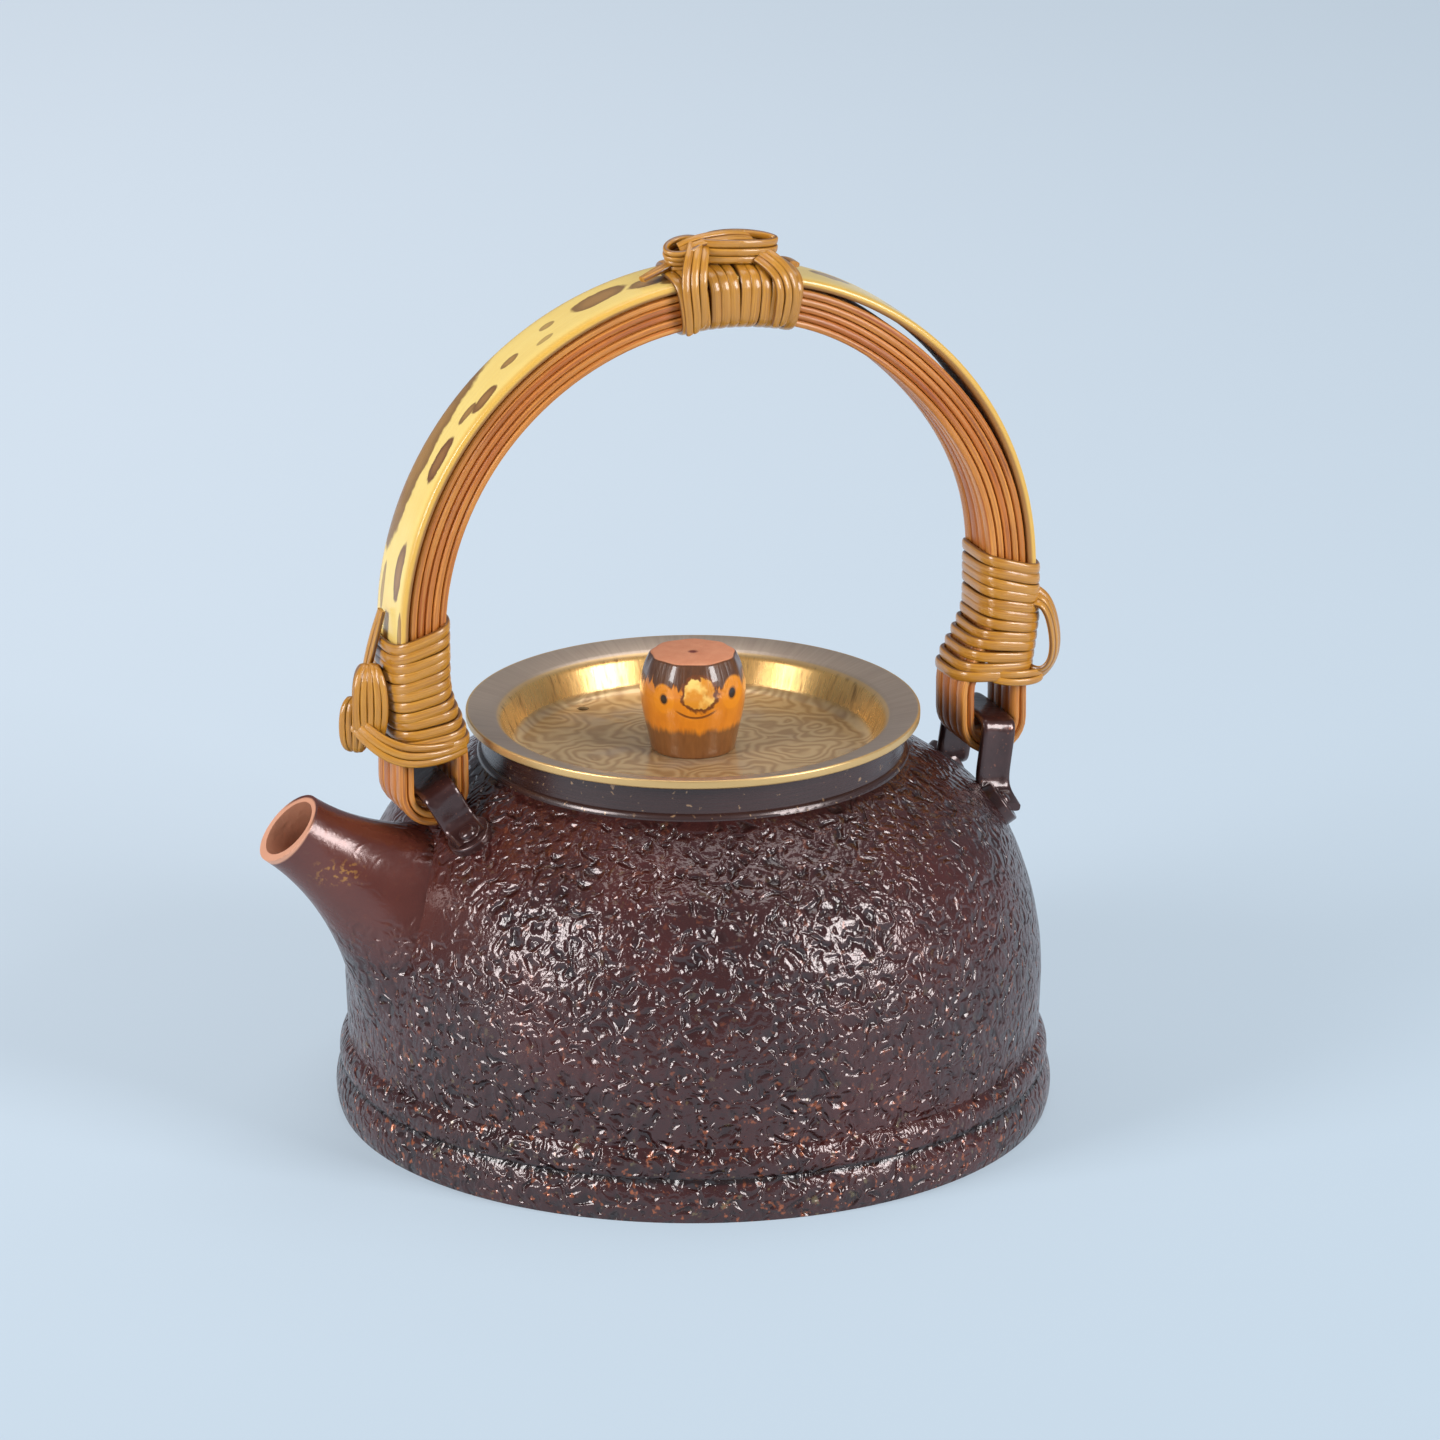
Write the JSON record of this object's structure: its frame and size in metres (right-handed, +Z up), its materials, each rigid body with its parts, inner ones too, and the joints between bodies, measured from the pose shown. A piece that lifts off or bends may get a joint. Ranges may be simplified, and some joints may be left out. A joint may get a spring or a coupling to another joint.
{
  "type": "kettle",
  "caption": "Copper kettle with a drawn spout, a dished brass lid with a bamboo root knob, and a bail handle of bamboo and rattan hung in riveted ears.",
  "frame": {"origin": "middle of the flat base, on the surface that the kettle stands on", "axes": "+Z up, spout towards -X, handle in the XZ plane"},
  "size_m": [0.1553, 0.132, 0.1651],
  "materials": {
    "wrinkled_copper": null,
    "smooth_copper": "dark red-brown patina, smooth and semi-gloss",
    "dark_copper": "almost black patina, smooth and glossy",
    "lid_brass": "polished and lightly mottled with a ripple pattern",
    "bamboo_root": "oiled, orange with dark bark",
    "steel": "plain",
    "spotted_bamboo": "smooth yellow skin with brown spots",
    "rattan_core": "satin, with fine lengthwise lines",
    "rattan_skin": "glossy amber skin"
  },
  "bodies": {
    "vessel": {"kettle_body": "wrinkled_copper", "base_pan": "wrinkled_copper", "neck_collar": "smooth_copper", "front_ear": "dark_copper", "rear_ear": "dark_copper", "front_ear_rivets": "dark_copper", "rear_ear_rivets": "dark_copper"},
    "lid": {"lid_dish": "lid_brass", "lid_knob": "bamboo_root", "knob_screw": "steel", "knob_washer": "lid_brass"},
    "handle": {"bamboo_strip": "spotted_bamboo", "rattan_splint_1": "rattan_core", "rattan_splint_2": "rattan_core", "rattan_splint_3": "rattan_core", "rattan_splint_4": "rattan_core", "top_binding": "rattan_skin", "spout_binding": "rattan_skin", "rear_binding": "rattan_skin", "top_knot": "rattan_skin", "spout_knot": "rattan_skin", "rear_knot": "rattan_skin"}
  },
  "joints": [
    {"name": "lid_lift", "type": "slide", "parent": "vessel", "child": "lid", "axis": [0, 0, 1], "range_m": [0, 0.04]},
    {"name": "handle_sway", "type": "hinge", "parent": "vessel", "child": "handle", "pos_m": [0.0024, 0, 0.0678], "axis": [1, 0, 0], "range_deg": [-6, 6]}
  ]
}
